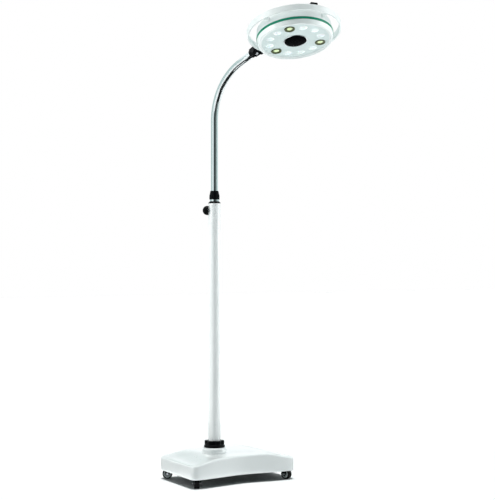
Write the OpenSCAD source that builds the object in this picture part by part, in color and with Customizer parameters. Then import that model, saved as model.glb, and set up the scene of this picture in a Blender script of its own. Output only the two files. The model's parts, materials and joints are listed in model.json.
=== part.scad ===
// Mobile examination lamp: ballasted base on casters, column, telescoping bent arm, round lamp head.
// Origin: on the floor, under the column's axis. +Z is up, +X runs along the base's longer reach.
// All sizes are in millimetres.

/* [Base] */
// Length of the base cover, along X
base_length = 412; // [360:4:460]
// Width of the base cover, along Y
base_width = 264; // [240:4:300]
// Distance from the column's axis to the cover's near end
base_back = 154; // [140:2:180]
// Height of the cover's lower edge above the floor
cover_low = 31; // [28:1:34]
// Height of the cover's top at its two ends
cover_end_top = 80; // [78:1:84]
// Height of the cover's flat middle
cover_top = 98; // [96:1:104]
// How far each long side is waisted inwards at its middle
waist = 20; // [0:1:26]
// Thickness of the cover's shell
cover_wall = 2.5; // [2:0.5:4]

/* [Casters] */
// Wheel diameter over the tyre
wheel_d = 36; // [32:1:36]
// Width of the wheel
wheel_w = 20; // [14:1:20]
// Horizontal distance from the swivel axis to the axle
caster_trail = 8; // [5:1:8]
// Distance of each swivel axis from the cover's end
caster_end_gap = 28; // [28:1:32]
// Distance of each swivel axis from the cover's widest side
caster_side_gap = 28; // [28:1:32]

/* [Column] */
// Outside diameter of the column tube
column_d = 42; // [40:1:44]
// Wall of the column tube
column_wall = 2; // [1.5:0.5:2.5]
// Height of the column tube's top edge
column_top = 986; // [850:1:1050]
// Diameter of the side lock knob
lock_knob_d = 35; // [30:1:38]
// Height of the lock knob's axis above the floor
lock_height = 961; // [840:1:962]
// Direction of the lock knob round the column, in degrees
lock_angle = 150; // [0:5:355]

/* [Arm] */
// Outside diameter of the bent chrome tube
arm_d = 25; // [22:1:25]
// Wall of the bent chrome tube
arm_wall = 1.5; // [1:0.5:2]
// Length of arm tube hidden in the column at rest
arm_hidden = 400; // [350:5:420]
// Height at which the bend starts
bend_start = 1281; // [1270:1:1300]
// Radius of the bend, at the tube's centreline
bend_r = 213; // [180:1:260]
// Angle that the tube turns through
bend_angle = 65; // [50:1:80]
// Straight length after the bend
arm_tip = 60; // [40:1:80]
// Direction of the arm round the column, in degrees
arm_angle = -72.5; // [-180:0.5:180]

/* [Head] */
// Rise of the head's spoke line above level, in degrees
head_rise = 16.4; // [0:0.2:30]
// Roll of the head about its spindle, in degrees
head_roll = -9.9; // [-20:0.1:20]
// Outside radius of the front rim
rim_r = 126; // [126:1:127]
// Outside radius of the trim ring
trim_r = 130; // [129:0.5:131]
// Depth of the drum from the front rim to the edge of its back
drum_depth = 59; // [57:1:62]
// Radius of the circle that the light modules stand on
module_circle = 88; // [84:1:90]
// Outside radius of the ring handle
handle_r = 159; // [157:1:165]
// Radial thickness of the ring handle
handle_t = 7; // [6:0.5:9]
// Axial width of the ring handle
handle_w = 22.5; // [18:0.5:26]

/* [Hidden] */
$fn = 96;

// Gaps: running is for shafts in holes, slip is for pieces that only sit beside each other.
running = 0.05;
slip = 0.1;

// Base, from the floor upwards
base_mid = base_length / 2 - base_back;
slab_low = cover_low + 0.5;
plate_low = 48;
plate_t = 4;
ballast_top = 74;
lower_slab = [base_length - 2 * caster_end_gap - 96, base_width - 74];
upper_slab = [base_length - 2 * caster_end_gap - 6, base_width - 2 * caster_side_gap - 24];
flat_share = 0.47;
corner_r = 14;
wheel_r = wheel_d / 2;
fork_top = plate_low - 2.5;
fork_roof = 41.1;

// Each caster's swivel axis and the way that it points at rest: near left, near right, far left, far right
caster_x = [-base_back + caster_end_gap, base_length - base_back - caster_end_gap];
caster_y = base_width / 2 - caster_side_gap;
caster_spots = [
    [caster_x[0], -caster_y, 62], [caster_x[1], -caster_y, 110],
    [caster_x[0], caster_y, -28], [caster_x[1], caster_y, 215]
];
fork_back = 18;
fork_front = 12;
leg_in = wheel_w / 2 + 0.8;
leg_out = wheel_w / 2 + 4;
hub_r = wheel_r - 4.5;

// Column and foot
column_r = column_d / 2;
column_bore = column_r - column_wall;
foot_z = 100;
boss_top = 118;
boss_r = 44;
collar_top = 142;
bolt_r = 5;
bush_low = 925;

// Arm
arm_r = arm_d / 2;
arm_bore = arm_r - arm_wall;
arm_low = column_top - arm_hidden;
glide_h = 30;
cap_top = column_top + 7.5;
nut_low = cap_top + 6.3;
nut_top = column_top + 45;
reach = bend_r * (1 - cos(bend_angle)) + arm_tip * sin(bend_angle);
tip_z = bend_start + bend_r * sin(bend_angle) + arm_tip * cos(bend_angle);
tip_rise = 90 - bend_angle;

// Knuckle, measured from the tilt pivot
pivot_gap = 22;
ear_r = 15;
ear_in = 8;
ear_out = 14.5;
lug_half = 7;
pivot_r = 4;
flange_x = 16.5;
spindle_r = 6;

// Head, measured from the centre of the front rim; +Z points to the back of the head
spindle_z = 45;
head_reach = handle_r + 22.5;
plate_z = 4.75;
bezel_back = 17;
housing_front = 26;
dome_rise = 12;
module_count = 12;
warm_angles = [60, 180, 300];
clear_angles = [for (i = [0 : module_count - 1]) if ((i - 2) % 4 != 0) i * 30];
post_angles = [0, 90, 270];
screw_count = 6;
screw_circle = 96;
pod_angle = -22;
rocker_z = 3.8;

// ---- Outlines and helpers ----

// Points along an arc of radius r about c, from angle a0 to a1
function arc(c, r, a0, a1, n = 8) =
    [for (i = [0 : n]) c + r * [cos(a0 + (a1 - a0) * i / n), sin(a0 + (a1 - a0) * i / n)]];

function smooth(t) = t * t * (3 - 2 * t);

// Half width of the base at x, measured from the base's own middle
function half_width(x, half_l, half_w) = half_w - waist * pow(cos(90 * x / half_l), 2);

// Plan outline of the base, inset by d
module base_outline(d = 0) {
    half_l = base_length / 2 - d;
    half_w = base_width / 2 - d;
    r = corner_r - d / 2;
    steps = 12;
    span = half_l - r;
    side = [for (i = [0 : steps]) span - 2 * span * i / steps];
    polygon(concat(
        arc([span, half_w - r], r, 0, 90, 6),
        [for (i = [1 : steps - 1]) [side[i], half_width(side[i], half_l, half_w)]],
        arc([-span, half_w - r], r, 90, 180, 6),
        arc([-span, r - half_w], r, 180, 270, 6),
        [for (i = [1 : steps - 1]) [-side[i], -half_width(side[i], half_l, half_w)]],
        arc([span, r - half_w], r, 270, 360, 6)
    ));
}

// Height of the cover's top at x, measured from the base's own middle
function arch(x) =
    let (flat = flat_share * base_length / 2, end = base_length / 2,
         t = max(0, (abs(x) - flat) / (end - flat)))
    cover_top - (cover_top - cover_end_top) * (0.35 * t + 0.65 * smooth(t));

// Side profile of the space under the arched top, lowered by d
module arch_profile(d, low) {
    end = base_length / 2 + 1;
    steps = 28;
    polygon(concat(
        [[-end, low], [end, low]],
        [for (i = [0 : steps]) let (x = end - 2 * end * i / steps) [x, arch(x) - d]]
    ));
}

// A body with the base's outline and arched top
module base_body(d, low) {
    translate([base_mid, 0, 0]) intersection() {
        linear_extrude(cover_top + 10) base_outline(d);
        rotate([90, 0, 0]) linear_extrude(base_width + 20, center = true) arch_profile(d, low);
    }
}

module tube(r_out, r_in, h) {
    difference() {
        cylinder(r = r_out, h = h);
        translate([0, 0, -1]) cylinder(r = r_in, h = h + 2);
    }
}

// Hexagon prism with the given distance across its flats
module hexagon(across, h) {
    cylinder(r = across / sqrt(3), h = h, $fn = 6);
}

module at_lock() {
    translate([0, 0, lock_height]) rotate([0, 0, lock_angle]) rotate([0, 90, 0]) children();
}

module in_arm_plane() {
    rotate([0, 0, arm_angle]) children();
}

// Frame at the tilt pivot, +X along the arm's tip
module at_pivot() {
    in_arm_plane()
        translate([reach + pivot_gap * cos(tip_rise), 0, tip_z + pivot_gap * sin(tip_rise)])
            children();
}

module at_yoke() {
    at_pivot() rotate([0, -tip_rise, 0]) children();
}

// Frame at the tilt pivot, +X along the head's spindle
module at_lug() {
    at_pivot() rotate([0, -head_rise, 0]) rotate([head_roll, 0, 0]) children();
}

// Frame at the tilt pivot that tilts with the head but doesn't roll
module at_lug_level() {
    at_pivot() rotate([0, -head_rise, 0]) children();
}

// Frame at the centre of the front rim, +X away from the arm, +Z to the back of the head
module in_head() {
    at_lug() translate([head_reach, 0, -spindle_z]) children();
}

// ---- Base ----

module base_cover() {
    color("white") difference() {
        base_body(0, cover_low);
        base_body(cover_wall, cover_low - 5);
        translate([0, 0, cover_top - 20]) cylinder(r = 26, h = 40);
    }
}

plate_screw_spots = [for (x = [-80, 184], y = [-70, 70]) [x, y]];

module base_plate() {
    color("dimgray") difference() {
        translate([base_mid, 0, plate_low]) linear_extrude(plate_t) base_outline(cover_wall + 0.6);
        translate([0, 0, plate_low - 1]) cylinder(r = bolt_r + 0.5, h = plate_t + 2);
        for (s = concat(caster_spots, plate_screw_spots)) translate([s[0], s[1], plate_low - 1])
            cylinder(r = 4.1, h = plate_t + 2);
    }
}

// A flat slab with drilled holes, centred on the base
module slab(size, z0, z1, hole_r) {
    difference() {
        translate([base_mid - size[0] / 2, -size[1] / 2, z0]) cube([size[0], size[1], z1 - z0]);
        translate([0, 0, z0 - 1]) cylinder(r = bolt_r + 0.5, h = z1 - z0 + 2);
        for (s = plate_screw_spots) translate([s[0], s[1], z0 - 1]) cylinder(r = hole_r, h = z1 - z0 + 2);
    }
}

module ballast_weights() {
    color("darkgray") {
        difference() {
            slab(lower_slab, slab_low, plate_low - slip, 4.1);
            translate([0, 0, slab_low - 1]) cylinder(r = 12, h = 12);
            for (s = plate_screw_spots) translate([s[0], s[1], slab_low - 1]) cylinder(r = 7.6, h = 8);
        }
        slab(upper_slab, plate_low + plate_t + slip, ballast_top, 4.1);
    }
}

module base_screws() {
    color("silver") for (s = plate_screw_spots) translate([s[0], s[1], 0]) {
        translate([0, 0, slab_low + 2]) cylinder(r = 7, h = 5);
        translate([0, 0, slab_low + 7]) cylinder(r = 4, h = ballast_top - slab_low - 9);
    }
}

module column_boss() {
    color("white") rotate_extrude() polygon(concat(
        [[bolt_r + 0.5, ballast_top + slip], [25, ballast_top + slip], [25, cover_top], [boss_r, cover_top]],
        arc([boss_r - 8, boss_top - 8], 8, 0, 90, 5),
        [[column_r + running, boss_top], [column_r + running, foot_z], [bolt_r + 0.5, foot_z]]
    ));
}

module foot_collar() {
    lobes = 6;
    color([0.06, 0.06, 0.07]) difference() {
        union() {
            translate([0, 0, boss_top]) rotate_extrude() polygon(concat(
                [[column_r - 4, 0.1], [36.5, 0.1], [37.5, 1.5], [37.5, 5]],
                arc([33.5, 5], 4, 0, 80, 4),
                [[30, 20], [28.5, 22], [column_r - 4, 22]]
            ));
            for (i = [0 : lobes - 1]) rotate([0, 0, -30 + i * 360 / lobes])
                translate([29.5, 0, boss_top + 4]) cylinder(r = 5.5, h = collar_top - boss_top - 4);
        }
        translate([0, 0, boss_top - 1]) cylinder(r = column_r + running, h = 40);
        for (a = [0, 180]) rotate([0, 0, a]) translate([0, 0, boss_top + 12]) rotate([0, 90, 0]) {
            cylinder(r = 2.6, h = 40);
            translate([0, 0, 27]) cylinder(r = 4.6, h = 20);
        }
    }
}

module collar_screws() {
    color("silver") for (a = [0, 180]) rotate([0, 0, a])
        translate([0, 0, boss_top + 12]) rotate([0, 90, 0]) {
            translate([0, 0, column_r + 0.2]) cylinder(r = 2.5, h = 27.2 - column_r);
            translate([0, 0, 27.4]) cylinder(r = 4.3, h = 4);
        }
}

module column_tube() {
    plug_top = foot_z + 30;
    color("white") difference() {
        union() {
            translate([0, 0, foot_z]) tube(column_r, column_bore, column_top - foot_z);
            translate([0, 0, foot_z]) cylinder(r = column_bore + 0.5, h = plug_top - foot_z);
            at_lock() translate([0, 0, column_bore + 0.6]) cylinder(r = 8, h = column_wall + 5.4);
        }
        translate([0, 0, foot_z - 1]) cylinder(r = bolt_r + running, h = plug_top - foot_z - 3);
        at_lock() cylinder(r = 4 + running, h = 60);
        translate([0, 0, plug_top]) cylinder(r = column_bore, h = column_top);
    }
}

module foot_bolt() {
    head_low = slab_low + 2.9;
    color("silver") {
        translate([0, 0, head_low]) hexagon(16, 6);
        translate([0, 0, head_low + 6]) tube(10, bolt_r, 2);
        translate([0, 0, head_low + 6]) cylinder(r = bolt_r, h = foot_z + 22 - head_low - 6);
    }
}

module column_bush() {
    color("whitesmoke") difference() {
        translate([0, 0, bush_low]) tube(column_bore - slip, arm_r + running, column_top - bush_low - slip);
        at_lock() cylinder(r = 4.6, h = 40);
    }
}

module column_cap() {
    color([0.06, 0.06, 0.07]) rotate_extrude() polygon([
        [15, column_top + slip], [column_r + 0.6, column_top + slip], [column_r + 0.9, column_top + 0.8],
        [column_r + 0.9, column_top + 2.2], [column_r - 0.4, column_top + 3.4], [17.6, cap_top - 1.2],
        [16.6, cap_top], [15, cap_top]
    ]);
}

module gland_body() {
    color("silver") rotate_extrude() polygon([
        [arm_r + 0.1, column_top + slip], [14.9, column_top + slip], [14.9, cap_top + slip],
        [16.4, cap_top + slip], [16.4, nut_low - slip], [14.5, nut_low - slip],
        [14.5, nut_low + 14], [arm_r + 0.1, nut_low + 14]
    ]);
}

module collet() {
    z0 = nut_low + 14 + slip;
    color("ivory") difference() {
        rotate_extrude() polygon([
            [arm_r + running, z0], [14.4, z0], [14.4, z0 + 5], [12.9, z0 + 9], [arm_r + running, z0 + 9]
        ]);
        translate([0, -0.75, z0 - 1]) cube([30, 1.5, 12]);
    }
}

module gland_nut() {
    ribs = 16;
    color([0.06, 0.06, 0.07]) difference() {
        rotate_extrude() polygon([
            [14.55, nut_low], [17.6, nut_low], [18.2, nut_low + 0.8], [18.2, nut_low + 14],
            [17, nut_low + 19], [14.4, nut_top - 1], [13.8, nut_top], [arm_r + 0.1, nut_top],
            [arm_r + 0.1, nut_low + 24.5], [14.55, nut_low + 20]
        ]);
        for (i = [0 : ribs - 1]) rotate([0, 0, (i + 0.5) * 360 / ribs])
            translate([19, 0, nut_low - 1]) cylinder(r = 1.3, h = 18);
    }
}

// Knob turned about its own Z axis, its back at z = 0
module lock_knob() {
    knob_r = lock_knob_d / 2;
    back = column_r + 0.6;
    color([0.06, 0.06, 0.07]) at_lock() translate([0, 0, back]) difference() {
        rotate_extrude() polygon(concat(
            [[0, 0], [knob_r - 1, 0]],
            arc([knob_r - 1, 1], 1, -90, 0, 3),
            arc([0, 3], knob_r, 6, 90, 12)
        ));
        translate([0, 0, -1]) cylinder(r = 9, h = 8);
        cylinder(r = 4 + running, h = 17);
        for (i = [0 : 7]) rotate([0, 0, i * 45]) translate([knob_r + 5.2, 0, -1])
            cylinder(r = 6, h = 14);
    }
}

module lock_stud() {
    color("silver") at_lock() translate([0, 0, arm_r + 0.4]) cylinder(r = 4, h = 25);
}

// ---- Casters ----
// Local frame: swivel axis on Z, axle on Y at x = -trail

module at_caster(i) {
    s = caster_spots[i];
    translate([s[0], s[1], 0]) rotate([0, 0, s[2]]) children();
}

module at_axle(i) {
    at_caster(i) translate([-caster_trail, 0, wheel_r]) rotate([90, 0, 0]) children();
}

module caster_stems() {
    color("silver") for (i = [0 : 3]) at_caster(i) {
        translate([0, 0, fork_top + slip]) cylinder(r = 11, h = plate_low - fork_top - 2 * slip);
        translate([0, 0, fork_roof - slip - 2.2]) cylinder(r = 6, h = 2.2);
        translate([0, 0, fork_roof - slip]) cylinder(r = 4, h = plate_low + plate_t + 9 - fork_roof);
        translate([0, 0, plate_low + plate_t + slip]) hexagon(13, 6.5);
    }
}

module caster_fork(i) {
    leg = concat(
        [[fork_front, fork_top], [fork_front, 36], [-caster_trail + 6.5, wheel_r]],
        arc([-caster_trail, wheel_r], 6.5, 0, -180, 8),
        [[-fork_back, 36], [-fork_back, fork_top]]
    );
    color([0.06, 0.06, 0.07]) difference() {
        union() {
            at_caster(i) translate([-fork_back, -leg_out, fork_roof])
                cube([fork_back + fork_front, 2 * leg_out, fork_top - fork_roof]);
            for (side = [leg_in, -leg_out]) at_caster(i)
                translate([0, side + leg_out - leg_in, 0]) rotate([90, 0, 0])
                    linear_extrude(leg_out - leg_in) polygon(leg);
        }
        at_caster(i) translate([0, 0, fork_roof - 1]) cylinder(r = 4 + running, h = 10);
        at_axle(i) cylinder(r = 2.5 + running, h = 60, center = true);
    }
}

module caster_axle(i) {
    color("silver") at_axle(i) {
        cylinder(r = 2.5, h = 2 * leg_out + 0.4, center = true);
        for (side = [0, 1]) mirror([0, 0, side]) translate([0, 0, leg_out + 0.1]) cylinder(r = 4, h = 1.2);
    }
}

module caster_wheel(i) {
    half = wheel_w / 2;
    color("lightgray") at_axle(i) rotate_extrude() polygon([
        [2.5 + running, -half], [5, -half], [5.5, -half + 2], [hub_r - 3, -half + 2],
        [hub_r - 2, -half + 0.5], [hub_r, -half + 0.5], [hub_r, half - 0.5], [hub_r - 2, half - 0.5],
        [hub_r - 3, half - 2], [5.5, half - 2], [5, half], [2.5 + running, half]
    ]);
}

module caster_tyre(i) {
    half = wheel_w / 2;
    seat = hub_r + 0.02;
    color([0.08, 0.08, 0.09]) at_axle(i) rotate_extrude() polygon(concat(
        [[seat, -half + 0.5], [wheel_r - 3, -half + 0.5]],
        arc([wheel_r - 3, -half + 3.5], 3, -90, 0, 4),
        arc([wheel_r - 3, half - 3.5], 3, 0, 90, 4),
        [[seat, half - 0.5]]
    ));
}

// ---- Arm ----

module glide_ring() {
    color("ivory") translate([0, 0, arm_low]) difference() {
        tube(column_bore - running, arm_r + running, glide_h);
        translate([0, 0, glide_h / 2 - 4]) tube(column_bore + 1, column_bore - 1.5, 8);
    }
}

// The arm's path as a round bar of radius r, from z0 up; tip is the straight length after the bend
module arm_bar(r, z0, tip) {
    translate([bend_r, 0, bend_start]) rotate([90, 0, 0]) rotate([0, 0, 180 - bend_angle]) {
        rotate_extrude(angle = bend_angle) translate([bend_r, 0]) circle(r = r);
        translate([bend_r, 0, 0]) rotate([90, 0, 0]) cylinder(r = r, h = tip);
        rotate([0, 0, bend_angle]) translate([bend_r, 0, 0]) rotate([-90, 0, 0])
            cylinder(r = r, h = bend_start - z0);
    }
}

module arm_tube() {
    stop_r = column_bore - 1;
    color("silver") in_arm_plane() {
        difference() {
            union() {
                arm_bar(arm_r, arm_low - 6, arm_tip);
                translate([0, 0, arm_low - 6]) cylinder(r = stop_r, h = 6 - slip);
                translate([0, 0, arm_low + glide_h + slip]) cylinder(r = stop_r, h = 4);
            }
            arm_bar(arm_bore, arm_low - 7, arm_tip + 1);
        }
    }
}

module arm_cable() {
    color("black") in_arm_plane() arm_bar(3, arm_low - 40, arm_tip - 30);
}

module arm_yoke() {
    color([0.06, 0.06, 0.07]) at_yoke() difference() {
        union() {
            translate([-pivot_gap - 26, 0, 0]) rotate([0, 90, 0]) cylinder(r = arm_bore - running, h = 27);
            translate([-pivot_gap + 0.1, 0, 0]) rotate([0, 90, 0]) rotate_extrude() polygon([
                [0, 0], [13.5, 0], [14.5, 1.2], [14.5, 8], [0, 8]
            ]);
            intersection() {
                translate([-pivot_gap + 7, 0, 0]) rotate([0, 90, 0]) cylinder(r = 19, h = pivot_gap + 20);
                for (side = [0, 1]) mirror([0, side, 0]) {
                    translate([0, ear_in, 0]) rotate([-90, 0, 0]) cylinder(r = ear_r, h = ear_out - ear_in);
                    translate([-pivot_gap + 7, ear_in, -ear_r + 2])
                        cube([pivot_gap - 7, ear_out - ear_in, 2 * ear_r - 4]);
                }
            }
            translate([-pivot_gap + 7, -ear_out, -10]) cube([2, 2 * ear_out, 20]);
        }
        translate([-13.4, -ear_in, -20]) cube([40, 2 * ear_in, 40]);
        rotate([90, 0, 0]) cylinder(r = pivot_r + running, h = 60, center = true);
        translate([-pivot_gap - 30, 0, 0]) rotate([0, 90, 0]) cylinder(r = 4, h = 60);
    }
}

module pivot_bolt() {
    color("silver") at_yoke() {
        rotate([-90, 0, 0]) translate([0, 0, -ear_out - 4]) cylinder(r = pivot_r, h = 2 * ear_out + 10);
        rotate([-90, 0, 0]) translate([0, 0, -ear_out - slip - 5]) cylinder(r = 7.5, h = 5);
    }
}

module pivot_nut() {
    color([0.06, 0.06, 0.07]) at_yoke() rotate([-90, 0, 0]) translate([0, 0, ear_out + slip]) difference() {
        union() {
            hexagon(14, 6.5);
            cylinder(r = 9, h = 1.6);
            translate([0, 0, 6.5]) cylinder(r = 6, h = 2);
        }
        translate([0, 0, -1]) cylinder(r = pivot_r + running, h = 7.6);
    }
}

module friction_washers() {
    color("silver") at_yoke() for (side = [0, 1]) mirror([0, side, 0])
        rotate([-90, 0, 0]) translate([0, 0, lug_half + running])
            tube(12, pivot_r + running, ear_in - lug_half - 2 * running);
}

module head_lug() {
    color("silver") at_lug_level() difference() {
        union() {
            rotate([90, 0, 0]) cylinder(r = 13, h = 2 * lug_half, center = true);
            translate([0, -lug_half, -9]) cube([flange_x - slip, 2 * lug_half, 18]);
            rotate([0, 90, 0]) cylinder(r = spindle_r, h = 42);
        }
        rotate([90, 0, 0]) cylinder(r = pivot_r + running, h = 60, center = true);
        translate([14, 0, 0]) rotate([0, 90, 0]) cylinder(r = 3, h = 60);
    }
}

module swivel_flange() {
    color([0.06, 0.06, 0.07]) at_lug_level() translate([flange_x, 0, 0]) rotate([0, 90, 0])
        rotate_extrude() polygon([
            [spindle_r + running, 0], [17, 0], [20.5, 1.5], [21, 2.5], [21, 5], [20.5, 5.6],
            [spindle_r + running, 5.6]
        ]);
}

// ---- Lamp head ----

// Back surface of the housing at radius r, on a shallow dome
function dome(r) =
    let (edge = rim_r - 8, ball = (edge * edge + dome_rise * dome_rise) / (2 * dome_rise))
    drum_depth + dome_rise - ball + sqrt(ball * ball - r * r);

// Profile of the housing's outside, inset by d
function housing_profile(d) = concat(
    [[trim_r - 1 - d, housing_front]],
    arc([rim_r - 8, drum_depth - 8], 8 - d, 0, 80, 6),
    [for (r = [100 : -20 : 0]) [r, dome(r) - d]]
);

module rear_housing() {
    wall = 2.5;
    color("white") in_head() difference() {
        union() {
            difference() {
                rotate_extrude() polygon(concat(housing_profile(0), [[0, housing_front]]));
                rotate_extrude() polygon(concat(
                    [[trim_r - 1 - wall, housing_front - 1]], housing_profile(wall), [[0, housing_front - 1]]
                ));
            }
            for (i = [0 : screw_count - 1]) rotate([0, 0, 30 + i * 60]) translate([screw_circle, 0, 52])
                cylinder(r = 6, h = 8);
        }
        for (i = [0 : screw_count - 1]) rotate([0, 0, 30 + i * 60]) translate([screw_circle, 0, 0]) {
            translate([0, 0, 40]) cylinder(r = 2.1, h = 40);
            translate([0, 0, 59.5]) cylinder(r = 4.8, h = 20);
        }
        translate([0, 0, spindle_z]) for (a = [0 : 90 : 270]) rotate([0, 0, a])
            rotate([0, 90, 0]) cylinder(r = 3.2, h = 200);
    }
}

module front_bezel() {
    color("white") in_head() rotate_extrude() polygon(concat(
        arc([rim_r - 3.2, 3.2], 3.2, 0, -180, 10),
        [[114.2, 3.5], [114.2, plate_z - running], [121.6, plate_z - running],
         [trim_r - 4.4, bezel_back - 0.1], [trim_r - 1.2, bezel_back - 0.1]]
    ));
}

module trim_ring() {
    low = bezel_back;
    high = housing_front - 0.1;
    color([0.2, 0.68, 0.52]) in_head() rotate_extrude() polygon([
        [trim_r - 4.4, low], [trim_r - 0.8, low], [trim_r, low + 0.9], [trim_r, high - 0.9],
        [trim_r - 0.8, high], [trim_r - 4.4, high]
    ]);
}

module at_modules(angles) {
    for (a = angles) rotate([0, 0, a]) translate([module_circle, 0, 0]) children();
}

module front_plate() {
    color("white") in_head() difference() {
        translate([0, 0, plate_z]) cylinder(r = 121.4, h = 2);
        at_modules(clear_angles) translate([0, 0, plate_z - 1]) cylinder(r = 14, h = 4);
        at_modules(warm_angles) translate([0, 0, plate_z - 1]) cylinder(r = 17.8, h = 4);
        translate([0, 0, plate_z - 1]) cylinder(r = 34, h = 4);
    }
}

module clear_lenses() {
    color([0.9, 0.95, 0.95, 0.6]) in_head() at_modules(clear_angles) rotate_extrude() polygon(concat(
        [[0, 12.2], [0, 2.2]],
        arc([0, 35], 32.8, -86, -66, 5),
        [[13.8, plate_z + 2.05], [15.2, plate_z + 2.05], [15.2, plate_z + 3.5], [13.6, plate_z + 3.5],
         [6, 12.2]]
    ));
}

module lens_bezels() {
    color([0.2, 0.22, 0.12]) in_head() at_modules(warm_angles) rotate_extrude() polygon([
        [10.1, 4.4], [15.6, 2.2], [16.8, 2.2], [17.6, 3], [17.6, plate_z + 2.05], [19, plate_z + 2.05],
        [19, plate_z + 3.5], [10.1, plate_z + 3.5]
    ]);
}

module warm_lenses() {
    color([0.9, 0.95, 0.5, 0.8]) in_head() at_modules(warm_angles) rotate_extrude() polygon(concat(
        [[0, 12.2], [0, 2.8]],
        arc([0, 22.8], 20, -85, -61, 4),
        [[10, plate_z + 3.5], [6, 12.2]]
    ));
}

module centre_cap() {
    color([0.05, 0.05, 0.05]) in_head() rotate_extrude() polygon([
        [0, 1.6], [16, 1.8], [30, 2.6], [36, 3.4], [37.2, 4.1], [37.2, plate_z - 0.05],
        [33.8, plate_z - 0.05], [33.8, plate_z + 6], [31, plate_z + 6], [31, plate_z], [0, plate_z]
    ]);
}

module centre_ring() {
    color("silver") in_head() rotate_extrude() polygon([
        [37.4, plate_z - 0.05], [37.4, 3.4], [38.4, 2.9], [40.2, 3.6], [40.6, plate_z - 0.05]
    ]);
}

module led_board() {
    board_z = 14;
    color("whitesmoke") in_head() {
        difference() {
            translate([0, 0, board_z]) cylinder(r = 112, h = 1.6);
            translate([0, 0, board_z - 1]) cylinder(r = 30, h = 4);
        }
        at_modules([for (i = [0 : module_count - 1]) i * 30]) translate([0, 0, board_z - 1.6])
            cylinder(r = 4, h = 2);
    }
}

module heat_sink() {
    base_z = 15.7;
    fins = 24;
    color("darkgray") in_head() difference() {
        union() {
            translate([0, 0, base_z]) tube(112, 30, 3.5);
            for (i = [0 : fins - 1]) rotate([0, 0, 7.5 + i * 360 / fins]) translate([42, -1, base_z])
                cube([48, 2, 20]);
            for (i = [0 : screw_count - 1]) rotate([0, 0, 30 + i * 60]) translate([screw_circle, 0, base_z])
                cylinder(r = 5, h = 52 - slip - base_z);
        }
        for (i = [0 : screw_count - 1]) rotate([0, 0, 30 + i * 60]) translate([screw_circle, 0, 20])
            cylinder(r = 2.1, h = 40);
    }
}

module driver_board() {
    board_z = 46;
    color("seagreen") in_head() {
        translate([-50, -32, board_z]) cube([100, 64, 1.6]);
        translate([-40, -20, board_z + 1.6]) cube([26, 22, 12]);
        translate([4, 8, board_z + 1.6]) cylinder(r = 8, h = 14);
        translate([22, -14, board_z + 1.6]) cube([18, 18, 8]);
        for (x = [-45, 45], y = [-27, 27]) translate([x, y, 19.3]) cylinder(r = 3, h = board_z - 18.3);
    }
}

module ring_handle() {
    mid = spindle_z;
    r_in = handle_r - handle_t;
    half = handle_w / 2;
    soft = 2.2;
    color("white") in_head() difference() {
        translate([0, 0, mid]) rotate_extrude() polygon(concat(
            arc([handle_r - soft, soft - half], soft, -90, 0, 4),
            arc([handle_r - soft, half - soft], soft, 0, 90, 4),
            arc([r_in + soft, half - soft], soft, 90, 180, 4),
            arc([r_in + soft, soft - half], soft, 180, 270, 4)
        ));
        translate([0, 0, mid]) rotate([0, -90, 0]) cylinder(r = spindle_r + running, h = 200);
    }
}

// Posts and spindle sleeve between drum and ring, each end trimmed to the surface it meets
module ring_posts() {
    start = rim_r - 6;
    length = handle_r - start;
    color("white") in_head() {
        difference() {
            translate([0, 0, spindle_z]) {
                for (a = post_angles) rotate([0, 0, a]) translate([start, 0, 0]) rotate([0, 90, 0])
                    cylinder(r = 7, h = length);
                translate([-start, 0, 0]) rotate([0, -90, 0]) tube(13, 10.4, length);
            }
            rotate_extrude() polygon(concat(housing_profile(-running), [[0, housing_front]]));
            tube(handle_r + 20, handle_r - handle_t - running, 100);
        }
        translate([0, 0, spindle_z]) for (a = post_angles) rotate([0, 0, a]) rotate([0, 90, 0])
            translate([0, 0, rim_r - 12]) cylinder(r = 3, h = 16);
    }
}

module spindle_nut() {
    washer_r = 9.6;
    washer_t = 1.6;
    bore = handle_r - handle_t;
    start = sqrt(bore * bore - washer_r * washer_r) - slip;
    color("silver") in_head() translate([0, 0, spindle_z]) rotate([0, -90, 0]) difference() {
        union() {
            translate([0, 0, start - washer_t]) cylinder(r = washer_r, h = washer_t);
            translate([0, 0, start - 9]) hexagon(16, 9 - washer_t);
        }
        cylinder(r = spindle_r + running, h = 200);
    }
}

module housing_screws() {
    color("silver") in_head() for (i = [0 : screw_count - 1]) rotate([0, 0, 30 + i * 60])
        translate([screw_circle, 0, 0]) {
            translate([0, 0, 59.6]) cylinder(r = 4, h = 2.6);
            translate([0, 0, 32]) cylinder(r = 2, h = 27.6);
        }
}

// Frame on the back edge of the ring handle, +X outwards, +Z to the back
module at_pod() {
    in_head() rotate([0, 0, pod_angle])
        translate([handle_r - handle_t / 2, 0, spindle_z + handle_w / 2]) children();
}

module control_pod() {
    half_l = 12;
    inner = handle_t / 2 + 0.6;
    color([0.06, 0.06, 0.07]) at_pod() difference() {
        union() {
            translate([-7.5, -half_l, slip]) cube([11, 2 * half_l, 6]);
            translate([-7.5, -half_l, -12]) cube([7.5 - inner, 2 * half_l, 13]);
        }
        translate([-5.7, -9.8, 2]) cube([7.4, 19.6, 10]);
        translate([-15, 0, rocker_z]) rotate([0, 90, 0]) cylinder(r = 1.2 + running, h = 18);
    }
}

module control_rocker() {
    color([0.12, 0.12, 0.13]) at_pod() {
        translate([-7.3, 0, rocker_z]) rotate([0, 90, 0]) cylinder(r = 1.2, h = 10.2);
        translate([-5.5, 0, 0]) rotate([90, 0, 90]) linear_extrude(7) polygon([
            [-9.2, rocker_z], [-1, 2.7], [1, 2.7], [9.2, rocker_z], [9.2, 7.2], [4, 6.4], [-4, 6.4],
            [-9.2, 7.2]
        ]);
    }
}

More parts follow.
